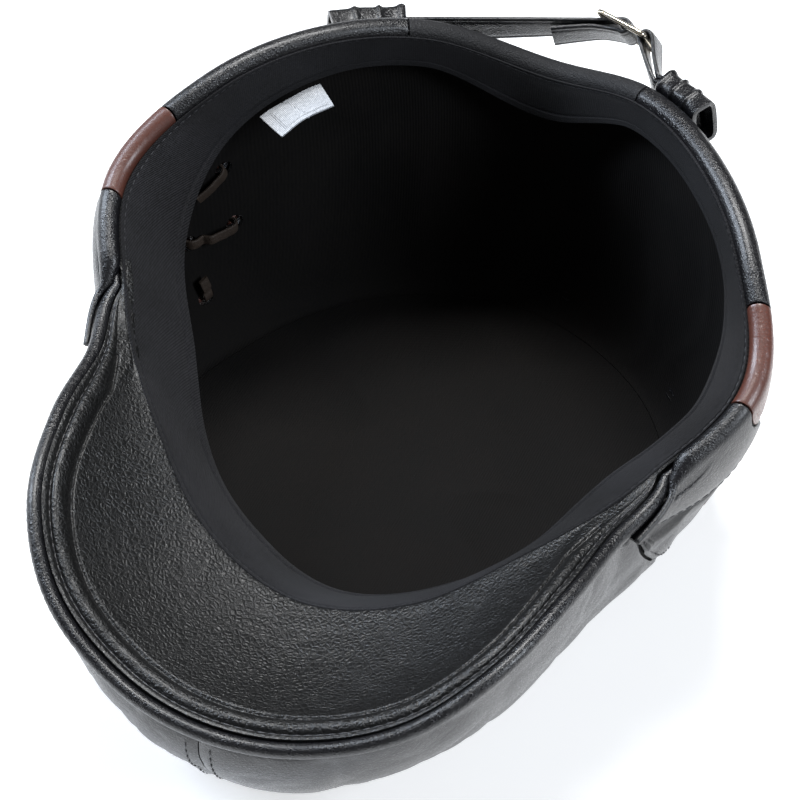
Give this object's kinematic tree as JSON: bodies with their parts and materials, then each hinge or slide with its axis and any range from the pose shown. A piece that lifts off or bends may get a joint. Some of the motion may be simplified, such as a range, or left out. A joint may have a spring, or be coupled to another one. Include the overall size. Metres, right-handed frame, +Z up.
{
  "type": "newsboy cap",
  "caption": "Full leather newsboy cap lying on its crown, head opening up, with a stitched brim, contrast side patches with laces, a cloth lining and a back strap with a slide buckle.",
  "frame": {"origin": "centre of the cap's box in plan, on the table that its crown lies on", "axes": "-Y towards the brim, +Y towards the back strap, +Z up out of the head opening"},
  "size_m": [0.2106, 0.2618, 0.1204],
  "materials": {
    "black_leather": "smooth, half gloss, fine grain",
    "brown_leather": "smooth, waxed, glossy creases",
    "lining_cloth": "plain dark woven cloth",
    "sweatband_cloth": "twill",
    "label_cloth": "satin woven tape, blank",
    "lace_leather": "flat cut lace, dull",
    "buckle_metal": "pale plated wire, polished"
  },
  "bodies": {
    "root": {"crown_top": "black_leather", "lining": "lining_cloth", "lining_back_left": "lining_cloth", "lining_back_right": "lining_cloth", "lining_top": "lining_cloth", "sweatband": "sweatband_cloth", "size_label": "label_cloth", "brim": "black_leather", "brim_piping": "black_leather", "back_binding": "black_leather", "strap": "black_leather", "strap_anchor": "black_leather", "buckle": "buckle_metal", "crown_wall_left": "black_leather", "crown_side_left": "black_leather", "rim_band_front_left": "black_leather", "rim_band_back_left": "black_leather", "side_patch_left": "brown_leather", "lace_left": "lace_leather", "strap_loop_left": "black_leather", "crown_wall_right": "black_leather", "crown_side_right": "black_leather", "rim_band_front_right": "black_leather", "rim_band_back_right": "black_leather", "side_patch_right": "brown_leather", "lace_right": "lace_leather", "strap_loop_right": "black_leather"}
  },
  "joints": []
}
